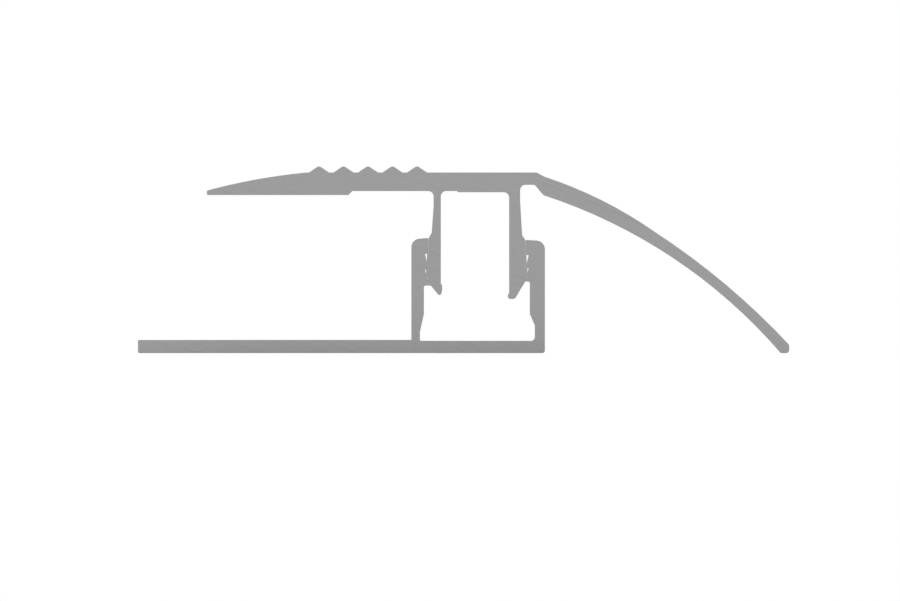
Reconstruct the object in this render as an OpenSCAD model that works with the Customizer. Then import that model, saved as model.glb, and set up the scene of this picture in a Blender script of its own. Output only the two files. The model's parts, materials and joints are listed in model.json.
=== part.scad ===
// Clip-together aluminium ramp trim: a screwed base rail and a snap-in cover profile.
// The section lies in X and Z, and both profiles are extruded along Y.
// Heights are above the floor. Section widths are measured from the middle of the clip channel.
// The near wall and leg stand beside the floor covering, and the far ones under the ramp.

/* [Length] */
// Length of the trim, cut square
trim_length = 900; // [300:50:2700]
// Thickness of the floor covering that the lip rests on
covering_t = 11; // [9:0.5:14]
// How far the lip springs below the top of the covering while nothing is under it
lip_spring = 0.06; // [0:0.01:0.2]

/* [Base rail] */
// Width of the rail, from the free edge of the flange to the far wall
rail_w = 30.74; // [26:0.02:40]
// Thickness of the flange
flange_t = 1; // [0.95:0.05:1.3]
// Thickness of the channel floor
floor_t = 0.93; // [0.88:0.01:1.3]
// Height of the near wall
near_wall_h = 8.6; // [8.2:0.05:9]
// Height of the far wall
far_wall_h = 8.46; // [8.2:0.02:9]
// Thickness of the near wall
near_wall_t = 0.95; // [0.7:0.05:1.2]
// Thickness of the far wall
far_wall_t = 1.14; // [0.8:0.02:1.4]
// Radius on the outer top corner of each wall
wall_round = 0.65; // [0.2:0.05:0.65]
// Height at which the walls start to thin towards their feet
foot_relief_h = 2.95; // [2.6:0.05:3.4]
// How far the near wall thins
near_foot_relief = 0.3; // [0.1:0.01:0.35]
// Height of the full relief of the near wall
near_foot_h = 1.6; // [1.5:0.05:2.4]
// Radius in the corner between the channel floor and the near wall
near_foot_r = 0.1; // [0.05:0.05:0.3]
// How far the far wall thins
far_foot_relief = 0.38; // [0.1:0.01:0.45]
// Height of the full relief of the far wall
far_foot_h = 2.1; // [1.5:0.05:2.4]
// Radius in the corner between the channel floor and the far wall
far_foot_r = 0.3; // [0.05:0.05:0.4]

/* [Screw holes] */
// Diameter of the holes in the flange
hole_d = 5.3; // [5.1:0.1:5.8]
// Diameter of the 90 degree countersink at the top of the flange
countersink_d = 7; // [6.2:0.1:7.1]
// Distance of the hole row from the free edge of the flange
hole_inset = 11; // [7:0.5:14]
// Spacing of the holes along the trim
hole_pitch = 200; // [100:10:250]
// Least distance of a hole from either end
hole_end_space = 50; // [30:5:80]

/* [Snap clip] */
// Clear width between the two walls of the channel
channel_w = 8; // [7.6:0.1:9]
// Height of the catch below the head of the near wall
near_catch_h = 5.1; // [4.8:0.05:5.4]
// Height of the catch below the head of the far wall
far_catch_h = 5.4; // [5:0.05:5.7]
// How far each clip head stands into the channel
head_reach = 0.34; // [0.3:0.02:0.4]
// How far the top of each clip head rises towards the leg
head_rise = 0.1; // [0:0.01:0.15]
// Number of teeth on each clip head
tooth_count = 3; // [2:1:3]
// Spacing of the near teeth
near_tooth_pitch = 1.2; // [0.8:0.05:1.25]
// Spacing of the far teeth
far_tooth_pitch = 1; // [0.8:0.05:1.1]
// Depth of the teeth
tooth_depth = 0.25; // [0.15:0.01:0.28]
// Height of the blunt crest of the top tooth of each leg. A blunt crest leaves a small void beside it
top_flat_h = 0.6; // [0.2:0.05:0.7]
// Play between the teeth of the legs and of the clip heads
snap_play = 0.01; // [0.01:0.01:0.06]

/* [Cover legs] */
// Thickness of the near leg at its root
near_leg_t = 0.55; // [0.45:0.05:0.8]
// Thickness of the far leg at its root
far_leg_t = 0.83; // [0.6:0.01:1]
// How far each leg is waisted between its root and its teeth
leg_waist = 0.23; // [0.15:0.01:0.3]
// How far each leg tapers from the waist up to its root
leg_taper = 0.15; // [0.05:0.01:0.2]
// How far the near leg steps in below its teeth
near_lead_step = 0.18; // [0.05:0.01:0.25]
// Length of the lead-in below the teeth of the near leg
near_lead_h = 0.7; // [0.6:0.02:1]
// Length of the lead-in below the teeth of the far leg
far_lead_h = 1.3; // [0.8:0.02:1.5]
// Width of the blunt tip of the near leg
near_tip_w = 0.17; // [0.16:0.01:0.3]
// Width of the blunt tip of the far leg
far_tip_w = 0.43; // [0.35:0.01:0.48]
// How far the toe near the tip of each leg stands out on the inner face
toe_reach = 0.1; // [0.05:0.01:0.15]
// Height of the top of the near toe above the tip
near_toe_h = 0.86; // [0.6:0.02:1]
// Height of the bottom of the near toe above the tip
near_toe_low_h = 0.34; // [0.16:0.02:0.4]
// Height of the top of the far toe above the tip
far_toe_h = 0.44; // [0.36:0.02:1]
// Height of the bottom of the far toe above the tip
far_toe_low_h = 0.16; // [0.12:0.02:0.2]
// Radius where a leg meets the plate
leg_fillet = 0.4; // [0.2:0.05:0.5]

/* [Cover plate] */
// Width of the cover, from the nose of the lip to the tip of the ramp
cover_w = 44; // [41:0.5:47]
// Reach of the lip, from the middle of the clip channel to its nose
lip_reach = 20.4; // [19:0.1:23]
// Width of the contact pad under the lip
pad_w = 10.7; // [6:0.1:12]
// How far the contact pad stands below the plate
pad_h = 0.3; // [0.1:0.01:0.4]
// Thickness of the plate
plate_t = 1.41; // [1.2:0.01:1.7]
// Extra thickness of the plate between the legs
bridge_extra = 0.09; // [0.02:0.01:0.2]
// Distance from the middle of the clip channel to the near end of the thicker plate
bridge_offset = 1.5; // [0:0.1:1.8]
// Thickness of the lip at its nose
nose_t = 0.34; // [0.26:0.01:0.5]
// Radius of the curve from the nose up to the ribs
lip_r = 45; // [25:1:60]

/* [Grip ribs] */
// Number of grip ribs
rib_count = 5; // [1:1:6]
// Spacing of the ribs
rib_pitch = 1.85; // [1.75:0.01:2]
// Width of a rib at its foot
rib_w = 1.5; // [1.2:0.02:1.56]
// Height of a rib to its sharp apex, before rounding
rib_h = 0.5; // [0.3:0.01:0.6]
// Distance of the last rib from the middle of the clip channel
last_rib_offset = 4.52; // [3:0.02:6]

/* [Ramp wing] */
// Width of the relief groove beside the far leg
groove_w = 1.1; // [1:0.05:1.4]
// Thickness of the plate over the relief groove
groove_roof_t = 0.94; // [0.8:0.01:1.1]
// Distance from the end of the groove roof to the kink at the top of the wing
kink_offset = 0.14; // [0:0.01:0.3]
// Width of the steeper facet after the kink
facet_w = 0.6; // [0.3:0.05:1]
// Drop of the steeper facet after the kink
facet_drop = 0.32; // [0.25:0.01:0.4]
// Distance from the end of the groove roof to the start of the lower face of the wing
wing_root_offset = 0.65; // [0.5:0.01:0.8]
// Drop from the top of the plate to the start of the lower face of the wing
wing_root_drop = 1.72; // [1.6:0.01:1.9]
// Distance from the kink to the end of the shoulder, where the upper face of the wing grows flatter
shoulder_w = 8.95; // [8:0.05:10]
// Drop from the top of the plate to the end of the shoulder
shoulder_drop = 4.5; // [4.3:0.05:4.7]
// Radius of the shoulder
shoulder_r = 32; // [27:1:44]
// Radius of the upper face of the wing beyond the shoulder
wing_top_r = 55; // [45:1:80]
// Radius of the lower face of the wing
wing_under_r = 40; // [37:1:44]
// Height of the blunt edge at the tip of the wing
tip_h = 0.62; // [0.58:0.02:0.9]
// Width of the foot at the tip of the wing, which rests on the lower floor
tip_foot_w = 0.65; // [0.6:0.01:0.8]

/* [Hidden] */

ALUMINIUM = "#9b9a99";

// Small radii left by the extrusion die
EDGE_R = 0.12;
CORNER_R = 0.2;
NEAR_TIP_R = 0.12;
FAR_TIP_R = 0.25;
LEDGE_R = 0.05;
BLEND_R = 0.3;
WING_ROOT_R = 0.5;
TIP_R = 0.25;

// Heights along a leg that the tooth sizes do not set
SHOULDER_GAP = 0.1;
SHOULDER_H = 0.35;
ROOT_STRAIGHT = 0.8;
TOE_BLEND_H = 0.12;

FILLET_STEP = 15;
WING_STEPS = 16;
LIP_STEPS = 8;
CUT_OVER = 1;

// Levels of the cover
lip_z = flange_t + covering_t - lip_spring;
plate_under_z = lip_z + pad_h;
bridge_under_z = plate_under_z - bridge_extra;
plate_top_z = plate_under_z + plate_t;
groove_roof_z = plate_top_z - groove_roof_t;
wing_root_z = plate_top_z - wing_root_drop;

// Places across the section
channel_half = channel_w / 2;
rail_far_x = channel_half + far_wall_t;
rail_near_x = rail_far_x - rail_w;
near_wall_x = -channel_half - near_wall_t;
nose_x = -lip_reach;
tip_x = cover_w - lip_reach;
section_middle = (rail_near_x + tip_x) / 2;
hole_x = rail_near_x + hole_inset;

// Half widths of the snap, the same on both sides
head_tip = channel_half - head_reach;
head_root = head_tip + tooth_depth;
leg_valley = head_tip - snap_play;
leg_neck = leg_valley - leg_waist;
leg_root = leg_neck - leg_taper;
near_leg_inner = leg_root - near_leg_t;
far_leg_inner = leg_root - far_leg_t;

// Relief groove and the start of the wing
groove_end_x = leg_root + groove_w;
wing_top_x = groove_end_x + kink_offset;
facet_end = [wing_top_x + facet_w, plate_top_z - facet_drop];
shoulder_end = [wing_top_x + shoulder_w, plate_top_z - shoulder_drop];
wing_under_x = groove_end_x + wing_root_offset;
wing_foot_x = tip_x - tip_foot_w;

// End of the lip's curve, just beyond the first rib
first_rib_x = -last_rib_offset - (rib_count - 1) * rib_pitch;
lip_end_x = first_rib_x - rib_w / 2 - CORNER_R;

// Corners inside an arc from a to b. It turns left where r is positive, and right where negative.
function arc_inside(a, b, r, steps) =
    let (
        chord = norm(b - a),
        left = [a.y - b.y, b.x - a.x] / chord,
        centre = (a + b) / 2 + left * sign(r) * sqrt(r * r - chord * chord / 4),
        start = atan2(a.y - centre.y, a.x - centre.x),
        sweep = 2 * asin(chord / 2 / r)
    )
    [for (i = [1 : steps - 1])
        let (angle = start + sweep * i / steps)
        [centre.x + abs(r) * cos(angle), centre.y + abs(r) * sin(angle), 0]
    ];

// Points that round the corner q, between p and s
function round_corner(p, q, s) =
    let (
        corner = [q.x, q.y],
        back = [p.x - q.x, p.y - q.y] / norm([p.x - q.x, p.y - q.y]),
        ahead = [s.x - q.x, s.y - q.y] / norm([s.x - q.x, s.y - q.y]),
        half = acos(back * ahead) / 2,
        centre = corner + (back + ahead) / norm(back + ahead) * q.z / sin(half),
        from = corner + back * q.z / tan(half) - centre,
        start = atan2(from.y, from.x),
        sweep = (180 - 2 * half) * sign(cross(ahead, back)),
        steps = ceil(abs(sweep) / FILLET_STEP)
    )
    [for (i = [0 : steps])
        let (angle = start + sweep * i / steps)
        centre + q.z * [cos(angle), sin(angle)]
    ];

// Outline of a section with its corners rounded. Each corner is [x, height, radius].
function outline(corners) =
    let (count = len(corners))
    [for (i = [0 : count - 1])
        let (q = corners[i])
        each q.z == 0
            ? [[q.x, q.y]]
            : round_corner(corners[(i + count - 1) % count], q, corners[(i + 1) % count])
    ];

// The same corners on the near side of the channel, in the other order
function mirrored(corners) =
    [for (i = [len(corners) - 1 : -1 : 0]) [-corners[i].x, corners[i].y, corners[i].z]];

// Inner face of a clip wall, from its top down to the channel floor. Each tooth has its ledge below.
function wall_inner_face(wall_h, catch_h, pitch, foot_relief, foot_h, foot_r) = [
    [head_tip, wall_h + head_rise, EDGE_R],
    for (i = [tooth_count - 1 : -1 : 1]) each [
        [head_tip, catch_h + i * pitch, 0],
        [head_root, catch_h + i * pitch, 0]
    ],
    [head_tip, catch_h, LEDGE_R],
    [channel_half, catch_h, EDGE_R],
    [channel_half, foot_relief_h, BLEND_R],
    [channel_half + foot_relief, foot_h, BLEND_R],
    [channel_half + foot_relief, floor_t, foot_r]
];

// Outer face of a leg, from its tip up to the plate. Each tooth has its ledge above.
function leg_outer_face(inner, wall_h, catch_h, pitch, lead_step, lead_h, tip_w, tip_r, root_z) =
    let (foot_z = catch_h - snap_play)
    [
        [inner + tip_w, foot_z - lead_h, tip_r],
        if (lead_step > 0) [leg_valley - lead_step, foot_z, 0],
        [leg_valley, foot_z, 0],
        for (i = [1 : tooth_count - 1])
            let (
                ledge_z = foot_z + i * pitch,
                flat_h = top_flat_h * i / (tooth_count - 1),
                crest = leg_valley + tooth_depth * (1 - flat_h / pitch)
            )
            each [[crest, ledge_z - flat_h, 0], [crest, ledge_z, 0], [leg_valley, ledge_z, 0]],
        [leg_valley, wall_h + SHOULDER_GAP, EDGE_R],
        [leg_neck, wall_h + SHOULDER_GAP + SHOULDER_H, BLEND_R],
        [leg_root, root_z - leg_fillet - ROOT_STRAIGHT, 0],
        [leg_root, root_z, leg_fillet]
    ];

// Inner face of a leg, from the plate down to its tip, with a small toe just above the tip
function leg_inner_face(inner, catch_h, lead_h, toe_h, toe_low_h, root_z) =
    let (tip_z = catch_h - snap_play - lead_h)
    [
        [inner, root_z, leg_fillet],
        [inner, tip_z + toe_h, 0],
        [inner - toe_reach, tip_z + toe_h - TOE_BLEND_H, 0],
        [inner - toe_reach, tip_z + toe_low_h, 0],
        [inner, tip_z, EDGE_R]
    ];

// One grip rib, from its far foot to its near foot
function rib(middle) = [
    [middle + rib_w / 2, plate_top_z, EDGE_R],
    [middle, plate_top_z + rib_h, CORNER_R],
    [middle - rib_w / 2, plate_top_z, EDGE_R]
];

function base_rail_corners() = [
    [rail_near_x, 0, EDGE_R],
    [rail_far_x, 0, CORNER_R],
    [rail_far_x, far_wall_h, wall_round],
    each wall_inner_face(
        far_wall_h, far_catch_h, far_tooth_pitch, far_foot_relief, far_foot_h, far_foot_r
    ),
    each mirrored(wall_inner_face(
        near_wall_h, near_catch_h, near_tooth_pitch, near_foot_relief, near_foot_h, near_foot_r
    )),
    [near_wall_x, near_wall_h, wall_round],
    [near_wall_x, flange_t, 0],
    [rail_near_x, flange_t, EDGE_R]
];

function cover_corners() = [
    [nose_x, lip_z, EDGE_R],
    [nose_x + pad_w, lip_z, 0],
    [nose_x + pad_w + pad_h, plate_under_z, 0],
    each mirrored(near_leg_corners()),
    [-bridge_offset, plate_under_z, 0],
    [-bridge_offset + bridge_extra, bridge_under_z, 0],
    each far_leg_corners(),
    [groove_end_x, groove_roof_z, TIP_R],
    each wing_corners(),
    each [for (i = [0 : rib_count - 1]) each rib(-last_rib_offset - i * rib_pitch)],
    [lip_end_x, plate_top_z, 0],
    each arc_inside([lip_end_x, plate_top_z], [nose_x, lip_z + nose_t], lip_r, LIP_STEPS),
    [nose_x, lip_z + nose_t, EDGE_R]
];

// Both legs, down the inner face and up the outer one
function near_leg_corners() = [
    each leg_inner_face(
        near_leg_inner, near_catch_h, near_lead_h, near_toe_h, near_toe_low_h, plate_under_z
    ),
    each leg_outer_face(
        near_leg_inner, near_wall_h, near_catch_h, near_tooth_pitch,
        near_lead_step, near_lead_h, near_tip_w, NEAR_TIP_R, plate_under_z
    )
];

function far_leg_corners() = [
    each leg_inner_face(
        far_leg_inner, far_catch_h, far_lead_h, far_toe_h, far_toe_low_h, bridge_under_z
    ),
    each leg_outer_face(
        far_leg_inner, far_wall_h, far_catch_h, far_tooth_pitch,
        0, far_lead_h, far_tip_w, FAR_TIP_R, groove_roof_z
    )
];

// The ramp wing, from the groove along its lower face to the tip, and back along its upper face
function wing_corners() = [
    [wing_under_x, wing_root_z, WING_ROOT_R],
    each arc_inside([wing_under_x, wing_root_z], [wing_foot_x, 0], -wing_under_r, WING_STEPS),
    [wing_foot_x, 0, EDGE_R],
    [tip_x, 0, TIP_R],
    [tip_x, tip_h, TIP_R],
    each arc_inside([tip_x, tip_h], shoulder_end, wing_top_r, WING_STEPS / 2),
    [shoulder_end.x, shoulder_end.y, 0],
    each arc_inside(shoulder_end, facet_end, shoulder_r, WING_STEPS / 2),
    [facet_end.x, facet_end.y, 0],
    [wing_top_x, plate_top_z, 0]
];

// A profile of the trim's full length, cut square at both ends
module extrusion(corners) {
    translate([-section_middle, 0, 0])
        rotate([90, 0, 0])
        linear_extrude(height = trim_length, center = true)
        polygon(outline(corners));
}

// Screw hole with a 90 degree countersink above a short straight land
module screw_hole() {
    sink_h = (countersink_d - hole_d) / 2;
    translate([0, 0, -CUT_OVER])
        cylinder(h = flange_t + 2 * CUT_OVER, d = hole_d, $fn = 64);
    translate([0, 0, flange_t - sink_h])
        cylinder(h = sink_h + CUT_OVER, d1 = hole_d, d2 = countersink_d + 2 * CUT_OVER, $fn = 64);
}

// Row of screw holes, centred along the trim
module hole_row() {
    count = floor((trim_length - 2 * hole_end_space) / hole_pitch) + 1;
    for (i = [0 : count - 1])
        translate([hole_x - section_middle, (i - (count - 1) / 2) * hole_pitch, 0])
            screw_hole();
}

module base_rail() {
    color(ALUMINIUM)
        difference() {
            extrusion(base_rail_corners());
            hole_row();
        }
}

module cover_profile() {
    color(ALUMINIUM)
        extrusion(cover_corners());
}

base_rail();
cover_profile();
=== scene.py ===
"""Finishes of a clip-together aluminium floor ramp trim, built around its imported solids.

The trim is two extrusions: a mill finish base rail that is screwed down, and an anodised cover that snaps
into it. The frame has +Y along the trim, +X across it towards the ramp, and +Z up, in metres.
"""

import json
import math

import bmesh
import bpy
from bpy.props import FloatProperty, FloatVectorProperty, PointerProperty
from mathutils import Matrix


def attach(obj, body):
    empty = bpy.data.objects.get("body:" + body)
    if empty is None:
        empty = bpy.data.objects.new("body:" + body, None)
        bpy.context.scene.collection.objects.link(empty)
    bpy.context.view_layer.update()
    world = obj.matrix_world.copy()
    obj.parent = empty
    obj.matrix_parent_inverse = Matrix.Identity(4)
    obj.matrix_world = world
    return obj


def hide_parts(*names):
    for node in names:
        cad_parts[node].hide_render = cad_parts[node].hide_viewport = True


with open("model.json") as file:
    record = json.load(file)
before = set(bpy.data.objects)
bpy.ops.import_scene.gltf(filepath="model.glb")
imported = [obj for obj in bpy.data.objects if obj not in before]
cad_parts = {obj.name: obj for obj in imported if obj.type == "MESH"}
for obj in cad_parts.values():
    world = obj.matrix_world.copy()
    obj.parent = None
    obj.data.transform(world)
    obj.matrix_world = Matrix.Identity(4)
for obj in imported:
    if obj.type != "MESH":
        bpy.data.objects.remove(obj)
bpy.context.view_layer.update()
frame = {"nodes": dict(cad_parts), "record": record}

bl_info = {
    "name": "Floor Ramp Trim",
    "version": (1, 0, 0),
    "blender": (4, 5, 0),
    "location": "3D View > Sidebar > Ramp Trim",
    "description": "Finishes the base rail and the cover profile of an aluminium floor ramp trim",
    "category": "Object",
}

# One millimetre, in metres.
MM = 0.001

# Places on the solids, in metres. The inner screw holes stand one pitch either side of the middle one.
MOUNTS = {mount["name"]: mount for mount in frame["record"]["mounts"]}
HOLE_X = MOUNTS["screw_hole_middle"]["pos_m"][0]
HOLE_PITCH = MOUNTS["screw_holes_inner"]["dims"]["spacing_y_mm"] * MM / 2
FLANGE_TOP = MOUNTS["flange_top"]["pos_m"][2]
TRIM_END = frame["nodes"]["base_rail"].dimensions.y / 2

# A piece is in millimetres while it is open in edit mode, and so are these lengths.
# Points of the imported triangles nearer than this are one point.
MERGE_DISTANCE = 0.002
# Faces this near to an end of the trim belong to its sawn end.
END_ZONE = 0.1
# Faces and edges this near to the axis of a screw hole belong to that hole.
HOLE_ZONE = 4.0
# Slack of the tests for the level of an edge or a face.
SLACK = 0.01

# Triangles that meet at less than this angle become one flat face.
FLAT_ANGLE = math.radians(0.2)
# Edges that turn more than this are the rims of a hole.
RIM_ANGLE = math.radians(30)
# A normal with this share along a direction makes its face square to it.
SQUARE = 0.98

# Noise seldom leaves this part of 0 to 1, so a pattern is stretched from it.
NOISE_RANGE = (0.33, 0.67)
# Length over which the widest die lines change, in metres, so that they run on unbroken along the trim.
LINE_LENGTH = 4.0
# Share of the etch grain in the pattern of the cover. The rest is die lines.
GRAIN_SHARE = 0.15
# Middle of the saw blade, below and beside the trim as it was cut, in metres.
BLADE_CENTRE = (-0.06, 0.0, -0.16)
# Factors that lay a place flat onto the section, by leaving out its Y.
SECTION_PLANE = (1.0, 0.0, 1.0)

# Input and output sockets of the Mix node, which has a set for each kind of value.
MIX_FACTOR = 0
MIX_VALUE_A, MIX_VALUE_B, MIX_VALUE_RESULT = 2, 3, 0
MIX_COLOUR_A, MIX_COLOUR_B, MIX_COLOUR_RESULT = 6, 7, 2

# Bevel segments of a broken edge at the mouth of a hole.
RIM_SEGMENTS = 2
# Weight at which only the largest face at a corner sets its normal, so that flat faces stay flat.
LARGEST_FACE_ONLY = 100

# The floor lies this far below the rail, so that the two faces never meet.
FLOOR_GAP = 0.02 * MM

# Places and sizes of the softboxes, in metres.
KEY_PLACE = (0.0, 0.0, 1.5)
KEY_SIZE = (0.7, 3.0)
SIDE_PLACE = (1.8, 0.0, 0.55)
SIDE_SIZE = (0.8, 3.0)


def linear(code):
    """Linear RGBA of an sRGB hex colour."""
    parts = [int(code[i : i + 2], 16) / 255 for i in (1, 3, 5)]
    return (*[p / 12.92 if p <= 0.04045 else ((p + 0.055) / 1.055) ** 2.4 for p in parts], 1.0)


def shade(colour, factor):
    """A colour made lighter or darker by a factor."""
    return (*[min(1.0, c * factor) for c in colour[:3]], 1.0)


def colour_property(name, description, code):
    """A colour that a user can pick, with an sRGB hex value as its default."""
    return FloatVectorProperty(
        name=name,
        description=description,
        subtype="COLOR",
        size=4,
        min=0.0,
        max=1.0,
        default=linear(code),
    )


def length_property(name, description, millimetres):
    """A length that a user can change, given in millimetres and kept in metres."""
    return FloatProperty(
        name=name,
        description=description,
        unit="LENGTH",
        precision=6,
        default=millimetres * MM,
    )


class TrimFinish(bpy.types.PropertyGroup):
    """Colours and surface sizes of the two profiles."""

    rail_colour: colour_property("Rail colour", "Mill finish aluminium of the base rail", "#a5a4a3")
    cover_colour: colour_property("Cover colour", "Natural anodised aluminium of the cover", "#adacab")
    cut_colour: colour_property("Cut colour", "Bare metal of the sawn ends", "#a3a2a3")
    drilled_colour: colour_property("Drilled colour", "Bright metal cut by the countersink", "#b8b7b5")

    # Real die lines are 0.05 to 0.2 mm wide, the grain of an etch is about 0.03 mm, and the marks of a saw
    # or a cutter are 0.05 to 0.1 mm apart. These are coarser, so that they show from where one sees the trim.
    die_line: length_property("Die line", "Width of the widest lines left by the die", 0.35)
    etch_grain: length_property("Etch grain", "Size of the grain etched before anodising", 0.12)
    saw_mark: length_property("Saw mark", "Spacing of the arcs that the saw leaves on the ends", 0.3)
    turning_mark: length_property("Turning mark", "Spacing of the rings in the countersinks", 0.12)

    edge_break: length_property("Edge break", "Width of the broken edge round the sawn ends", 0.015)
    rim_break: length_property("Rim break", "Width of the broken edge at the mouths of the holes", 0.05)
    smooth_angle: FloatProperty(
        name="Smooth angle",
        description="Faces that meet at less than this angle are shaded as one curve",
        subtype="ANGLE",
        default=math.radians(20),
    )


class TrimStage(bpy.types.PropertyGroup):
    """Floor, light and camera."""

    floor_colour: colour_property("Floor colour", "Plain matt floor under the trim", "#f2f2f1")
    floor_size: length_property("Floor size", "Side of the square floor", 8000)
    ambient: FloatProperty(
        name="Ambient",
        description="Strength of the even light from all round",
        default=0.6,
    )
    key_power: FloatProperty(
        name="Key power",
        description="Power of the overhead softbox",
        unit="POWER",
        default=11.2,
    )
    side_power: FloatProperty(
        name="Side power",
        description="Power of each side softbox",
        unit="POWER",
        default=9.8,
    )
    view_width: length_property("View width", "Width that the camera sees", 67.976)
    view_x: length_property("View across", "Place of the middle of the picture across the trim", -1.028)
    view_z: length_property("View height", "Height of the middle of the picture above the floor", 3.973)
    view_distance: length_property("View distance", "Distance of the camera from the middle", 1700)


def add_node(tree, kind, sockets=None, links=None, **settings):
    """Adds a shader node with its settings and socket values, and links other nodes' outputs into it."""
    node = tree.nodes.new(kind)
    for name, value in settings.items():
        setattr(node, name, value)
    for socket, value in (sockets or {}).items():
        node.inputs[socket].default_value = value
    for socket, output in (links or {}).items():
        tree.links.new(output, node.inputs[socket])
    return node


def metal(name, colour, pattern, contrast, rough, relief):
    """Bare or anodised metal, with a pattern that varies its tone, roughness and height.

    contrast is the share by which the tone varies, rough the lowest and highest roughness, and relief the
    height of the pattern.
    """
    material = bpy.data.materials.new(name)
    material.use_nodes = True
    tree = material.node_tree
    tree.nodes.clear()
    place = add_node(tree, "ShaderNodeTexCoord").outputs["Object"]
    value = add_node(
        tree,
        "ShaderNodeMapRange",
        {"From Min": NOISE_RANGE[0], "From Max": NOISE_RANGE[1]},
        {"Value": pattern(tree, place)},
    ).outputs["Result"]
    tone = add_node(
        tree,
        "ShaderNodeMix",
        {MIX_COLOUR_A: shade(colour, 1 - contrast), MIX_COLOUR_B: shade(colour, 1 + contrast)},
        {MIX_FACTOR: value},
        data_type="RGBA",
    )
    gloss = add_node(
        tree,
        "ShaderNodeMapRange",
        {"To Min": rough[0], "To Max": rough[1]},
        {"Value": value},
    )
    height = add_node(
        tree,
        "ShaderNodeBump",
        {"Strength": 1.0, "Distance": relief},
        {"Height": value},
    )
    surface = add_node(
        tree,
        "ShaderNodeBsdfPrincipled",
        {"Metallic": 1.0},
        {
            "Base Color": tone.outputs[MIX_COLOUR_RESULT],
            "Roughness": gloss.outputs["Result"],
            "Normal": height.outputs["Normal"],
        },
    )
    add_node(tree, "ShaderNodeOutputMaterial", links={"Surface": surface.outputs["BSDF"]})
    material.diffuse_color = colour
    return material


def die_lines(tree, place, width):
    """Unbroken lines along Y, the widest as wide as given and finer ones between them."""
    stretched = add_node(
        tree,
        "ShaderNodeMapping",
        {"Scale": (1 / width, 1 / LINE_LENGTH, 1 / width)},
        {"Vector": place},
    )
    lines = add_node(
        tree,
        "ShaderNodeTexNoise",
        {"Scale": 1.0, "Detail": 5.0, "Roughness": 0.72},
        {"Vector": stretched.outputs["Vector"]},
    )
    return lines.outputs["Fac"]


def mill_finish(finish):
    """Mill finish: metal straight from the press. Clear die lines draw its reflections out along the trim."""

    def pattern(tree, place):
        return die_lines(tree, place, finish.die_line)

    return metal(
        "mill_finish_aluminium",
        finish.rail_colour,
        pattern,
        contrast=0.20,
        rough=(0.32, 0.48),
        relief=0.016 * MM,
    )


def anodised(finish):
    """Natural anodised: etched and sealed clear, so it is pale and soft, and its die lines only just show."""

    def pattern(tree, place):
        grain = add_node(
            tree,
            "ShaderNodeTexNoise",
            {"Scale": 1 / finish.etch_grain, "Detail": 2.0, "Roughness": 0.5},
            {"Vector": place},
        )
        mixed = add_node(
            tree,
            "ShaderNodeMix",
            {MIX_FACTOR: GRAIN_SHARE},
            {MIX_VALUE_A: die_lines(tree, place, finish.die_line), MIX_VALUE_B: grain.outputs["Fac"]},
        )
        return mixed.outputs[MIX_VALUE_RESULT]

    return metal(
        "anodised_aluminium",
        finish.cover_colour,
        pattern,
        contrast=0.17,
        rough=(0.34, 0.46),
        relief=0.008 * MM,
    )


def sawn(finish):
    """Sawn: dull bare metal, with the wide shallow arcs that a circular saw leaves as it feeds through."""

    def pattern(tree, place):
        section = add_node(
            tree,
            "ShaderNodeVectorMath",
            {1: SECTION_PLANE},
            {0: place},
            operation="MULTIPLY",
        )
        radius = add_node(
            tree,
            "ShaderNodeVectorMath",
            {1: BLADE_CENTRE},
            {0: section.outputs["Vector"]},
            operation="DISTANCE",
        )
        feed = add_node(
            tree,
            "ShaderNodeTexNoise",
            {"Scale": 1 / finish.saw_mark, "Detail": 2.0, "Roughness": 0.7},
            {"W": radius.outputs["Value"]},
            noise_dimensions="1D",
        )
        return feed.outputs["Fac"]

    return metal(
        "sawn_aluminium",
        finish.cut_colour,
        pattern,
        contrast=0.03,
        rough=(0.42, 0.5),
        relief=0.004 * MM,
    )


def shared_sawn(finish):
    """The sawn metal of both profiles, made for the first of them that asks."""
    return bpy.data.materials.get("sawn_aluminium") or sawn(finish)


def countersunk(finish):
    """Countersunk: bright metal turned by the cutter, with fine rings that glint round each hole."""

    def pattern(tree, place):
        axes = add_node(tree, "ShaderNodeSeparateXYZ", links={0: place})
        across = add_node(
            tree,
            "ShaderNodeMath",
            {1: HOLE_X},
            {0: axes.outputs["X"]},
            operation="SUBTRACT",
        )
        along = add_node(
            tree,
            "ShaderNodeMath",
            {1: HOLE_PITCH / 2, 2: -HOLE_PITCH / 2},
            {0: axes.outputs["Y"]},
            operation="WRAP",
        )
        flat = add_node(
            tree,
            "ShaderNodeCombineXYZ",
            links={0: across.outputs["Value"], 1: along.outputs["Value"]},
        )
        radius = add_node(
            tree,
            "ShaderNodeVectorMath",
            links={0: flat.outputs["Vector"]},
            operation="LENGTH",
        )
        rings = add_node(
            tree,
            "ShaderNodeTexNoise",
            {"Scale": 1 / finish.turning_mark, "Detail": 1.0},
            {"W": radius.outputs["Value"]},
            noise_dimensions="1D",
        )
        return rings.outputs["Fac"]

    return metal(
        "countersunk_aluminium",
        finish.drilled_colour,
        pattern,
        contrast=0.12,
        rough=(0.24, 0.36),
        relief=0.004 * MM,
    )


def start_piece(node_name, name):
    """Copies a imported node, opens the copy in edit mode in millimetres and merges it into whole faces."""
    bpy.ops.object.select_all(action="DESELECT")
    piece = bpy.data.objects.new(name, frame["nodes"][node_name].data.copy())
    bpy.context.scene.collection.objects.link(piece)
    piece.data.name = name
    piece.data.materials.clear()
    piece.data.transform(Matrix.Scale(1 / MM, 4))
    piece.select_set(True)
    bpy.context.view_layer.objects.active = piece
    bpy.ops.mesh.customdata_custom_splitnormals_clear()
    bpy.ops.object.mode_set(mode="EDIT")
    bpy.ops.mesh.select_all(action="SELECT")
    bpy.ops.mesh.remove_doubles(threshold=MERGE_DISTANCE)
    bpy.ops.mesh.dissolve_limited(angle_limit=FLAT_ANGLE)
    return piece


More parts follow.
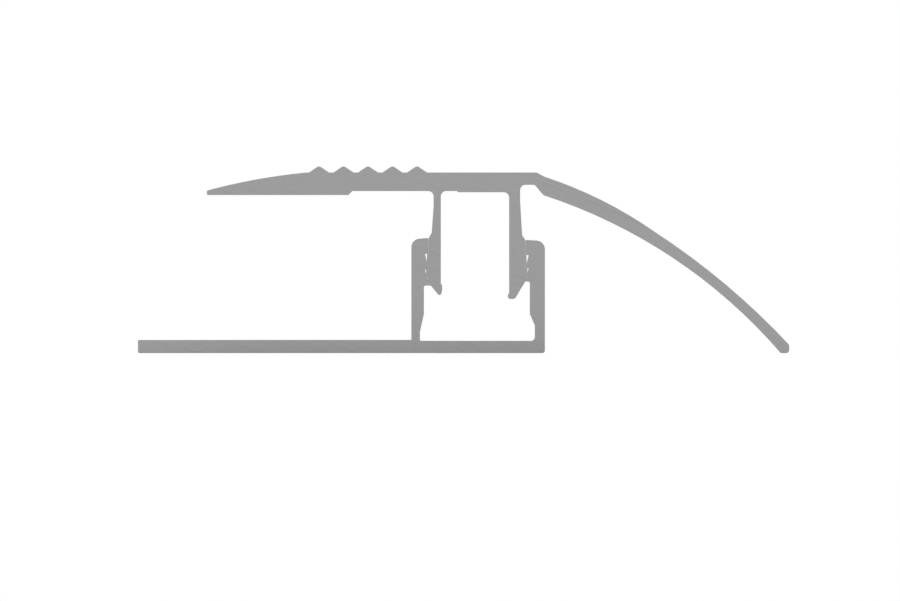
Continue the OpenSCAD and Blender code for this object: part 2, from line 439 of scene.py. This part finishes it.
def select_where(piece, kind, test):
    """Selects the faces or edges of an open piece that pass a test, and says how many there are."""
    bpy.ops.mesh.select_mode(type="FACE" if kind == "faces" else "EDGE")
    bpy.ops.mesh.select_all(action="DESELECT")
    mesh = bmesh.from_edit_mesh(piece.data)
    chosen = [item for item in getattr(mesh, kind) if test(item)]
    for item in chosen:
        item.select_set(True)
    bmesh.update_edit_mesh(piece.data)
    return len(chosen)


def is_sawn(face):
    """True for a face at either end, its broken edge included."""
    return abs(face.calc_center_median().y) > TRIM_END / MM - END_ZONE


def hole_radius(point):
    """Distance of a point from the axis of the nearest screw hole, in millimetres."""
    pitch = HOLE_PITCH / MM
    return math.hypot(point.x - HOLE_X / MM, point.y - pitch * round(point.y / pitch))


def is_hole_rim(edge):
    """True for an edge where a hole meets the top or the underside of the flange."""
    ends = [vert.co for vert in edge.verts]
    on_top = all(end.z > FLANGE_TOP / MM - SLACK for end in ends)
    on_underside = all(end.z < SLACK for end in ends)
    near = all(hole_radius(end) < HOLE_ZONE for end in ends)
    return (on_top or on_underside) and near and edge.calc_face_angle(0) > RIM_ANGLE


def is_cut_by_drill(face):
    """True for a face inside a screw hole."""
    centre = face.calc_center_median()
    low = centre.z < FLANGE_TOP / MM + SLACK
    return low and hole_radius(centre) < HOLE_ZONE and abs(face.normal.z) < SQUARE


def break_ends(piece, width):
    """Breaks the sharp edge all round both sawn ends, and leaves the ends where they were."""
    for side in (-1, 1):
        found = select_where(
            piece,
            "faces",
            lambda face: is_sawn(face) and face.normal.y * side > SQUARE,
        )
        if not found:
            raise RuntimeError(f"{piece.name} has no face at one end")
        bpy.ops.transform.translate(value=(0, -side * width, 0))
        bpy.ops.mesh.inset(thickness=width, depth=width)


def break_rims(piece, width):
    """Breaks the sharp edges at both mouths of every screw hole."""
    if not select_where(piece, "edges", is_hole_rim):
        raise RuntimeError(f"{piece.name} has no hole rims")
    bpy.ops.mesh.bevel(offset=width, segments=RIM_SEGMENTS, affect="EDGES", clamp_overlap=True)


def assign(piece, materials):
    """Gives the piece its materials. Each one after the first comes with the test that picks its faces."""
    for index, (material, test) in enumerate(materials):
        piece.data.materials.append(material)
        if index:
            select_where(piece, "faces", test)
            piece.active_material_index = index
            bpy.ops.object.material_slot_assign()


def end_piece(piece, finish, node_name):
    """Closes the piece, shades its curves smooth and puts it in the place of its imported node."""
    bpy.ops.object.mode_set(mode="OBJECT")
    piece.data.transform(Matrix.Scale(MM, 4))
    bpy.ops.object.shade_smooth_by_angle(angle=finish.smooth_angle)
    evened = piece.modifiers.new("Flat faces stay flat", "WEIGHTED_NORMAL")
    evened.keep_sharp = True
    evened.weight = LARGEST_FACE_ONLY
    bpy.ops.object.modifier_apply(modifier=evened.name)
    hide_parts(node_name)
    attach(piece, "root")


class TRIM_OT_base_rail(bpy.types.Operator):
    """Finish the base rail: broken edges, mill finish, sawn ends and bright countersinks"""

    bl_idname = "trim.base_rail"
    bl_label = "Base rail"

    def execute(self, context):
        finish = context.scene.trim_finish
        piece = start_piece("base_rail", "mill_finish_rail")
        break_ends(piece, finish.edge_break / MM)
        break_rims(piece, finish.rim_break / MM)
        materials = [
            (mill_finish(finish), None),
            (shared_sawn(finish), is_sawn),
            (countersunk(finish), is_cut_by_drill),
        ]
        assign(piece, materials)
        end_piece(piece, finish, "base_rail")
        return {"FINISHED"}


class TRIM_OT_cover_profile(bpy.types.Operator):
    """Finish the cover profile: broken edges at its ends, natural anodising and sawn ends"""

    bl_idname = "trim.cover_profile"
    bl_label = "Cover profile"

    def execute(self, context):
        finish = context.scene.trim_finish
        piece = start_piece("cover_profile", "anodised_cover")
        break_ends(piece, finish.edge_break / MM)
        materials = [
            (anodised(finish), None),
            (shared_sawn(finish), is_sawn),
        ]
        assign(piece, materials)
        end_piece(piece, finish, "cover_profile")
        return {"FINISHED"}


class TRIM_OT_stage(bpy.types.Operator):
    """Set a plain pale floor, soft light, a white background and a level camera"""

    bl_idname = "trim.stage"
    bl_label = "Stage"

    def execute(self, context):
        scene = context.scene
        stage = scene.trim_stage
        scene.view_settings.view_transform = "Standard"
        make_floor(stage)
        make_world(scene, stage)
        make_softbox("overhead_softbox", KEY_PLACE, KEY_SIZE, stage.key_power)
        for side in (-1, 1):
            place = (side * SIDE_PLACE[0], *SIDE_PLACE[1:])
            make_softbox("side_softbox", place, SIDE_SIZE, stage.side_power)
        make_camera(scene, stage)
        return {"FINISHED"}


def make_floor(stage):
    """A plain matt floor, a hair below the rail."""
    bpy.ops.object.select_all(action="DESELECT")
    bpy.ops.mesh.primitive_plane_add(size=stage.floor_size, location=(0, 0, -FLOOR_GAP))
    floor = bpy.context.object
    floor.name = "floor"
    material = bpy.data.materials.new("matt_floor")
    material.use_nodes = True
    surface = material.node_tree.nodes["Principled BSDF"]
    surface.inputs["Base Color"].default_value = stage.floor_colour
    surface.inputs["Roughness"].default_value = 0.9
    surface.inputs["Specular IOR Level"].default_value = 0.1
    floor.data.materials.append(material)


def make_world(scene, stage):
    """Even light from all round, which the camera and the metal see as a white background."""
    world = bpy.data.worlds.new("white_surroundings")
    world.use_nodes = True
    scene.world = world
    tree = world.node_tree
    tree.nodes.clear()
    path = add_node(tree, "ShaderNodeLightPath")
    sight = add_node(
        tree,
        "ShaderNodeMath",
        links={0: path.outputs["Is Camera Ray"], 1: path.outputs["Is Glossy Ray"]},
        operation="ADD",
    )
    seen = add_node(
        tree,
        "ShaderNodeMath",
        links={0: sight.outputs["Value"], 1: path.outputs["Is Transmission Ray"]},
        operation="ADD",
        use_clamp=True,
    )
    light = add_node(tree, "ShaderNodeBackground", {"Color": (1, 1, 1, 1), "Strength": stage.ambient})
    white = add_node(tree, "ShaderNodeBackground", {"Color": (1, 1, 1, 1), "Strength": 1.0})
    mixed = add_node(
        tree,
        "ShaderNodeMixShader",
        links={0: seen.outputs["Value"], 1: light.outputs[0], 2: white.outputs[0]},
    )
    add_node(tree, "ShaderNodeOutputWorld", links={"Surface": mixed.outputs["Shader"]})


def make_softbox(name, place, size, power):
    """A long soft light aimed at the middle of the trim. It shows in the metal and not in the picture."""
    data = bpy.data.lights.new(name, "AREA")
    data.shape = "RECTANGLE"
    data.size, data.size_y = size
    data.energy = power
    lamp = bpy.data.objects.new(name, data)
    lamp.location = place
    lamp.rotation_euler = (0, math.atan2(place[0], place[2]), 0)
    lamp.visible_camera = False
    bpy.context.scene.collection.objects.link(lamp)


def make_camera(scene, stage):
    """A camera without perspective, level and square to the sawn ends."""
    data = bpy.data.cameras.new("section_view")
    data.type = "ORTHO"
    data.ortho_scale = stage.view_width
    data.clip_start = 0.01
    data.clip_end = 50.0
    camera = bpy.data.objects.new("section_view", data)
    camera.location = (stage.view_x, -stage.view_distance, stage.view_z)
    camera.rotation_euler = (math.radians(90), 0, 0)
    scene.collection.objects.link(camera)
    scene.camera = camera


class TRIM_PT_panel(bpy.types.Panel):
    """Steps and settings of the trim, in the sidebar of the 3D view"""

    bl_label = "Ramp Trim"
    bl_idname = "TRIM_PT_panel"
    bl_space_type = "VIEW_3D"
    bl_region_type = "UI"
    bl_category = "Ramp Trim"

    def draw(self, context):
        for operator in OPERATORS:
            self.layout.operator(operator.bl_idname)
        for group in (context.scene.trim_finish, context.scene.trim_stage):
            box = self.layout.box()
            for name in group.__annotations__:
                box.prop(group, name)


OPERATORS = (TRIM_OT_base_rail, TRIM_OT_cover_profile, TRIM_OT_stage)
CLASSES = (TrimFinish, TrimStage, *OPERATORS, TRIM_PT_panel)


def register():
    for item in CLASSES:
        bpy.utils.register_class(item)
    bpy.types.Scene.trim_finish = PointerProperty(type=TrimFinish)
    bpy.types.Scene.trim_stage = PointerProperty(type=TrimStage)


def unregister():
    del bpy.types.Scene.trim_stage
    del bpy.types.Scene.trim_finish
    for item in reversed(CLASSES):
        bpy.utils.unregister_class(item)


def main():
    """Runs every step in order."""
    register()
    bpy.ops.trim.base_rail()
    bpy.ops.trim.cover_profile()
    bpy.ops.trim.stage()


if __name__ == "__main__":
    main()
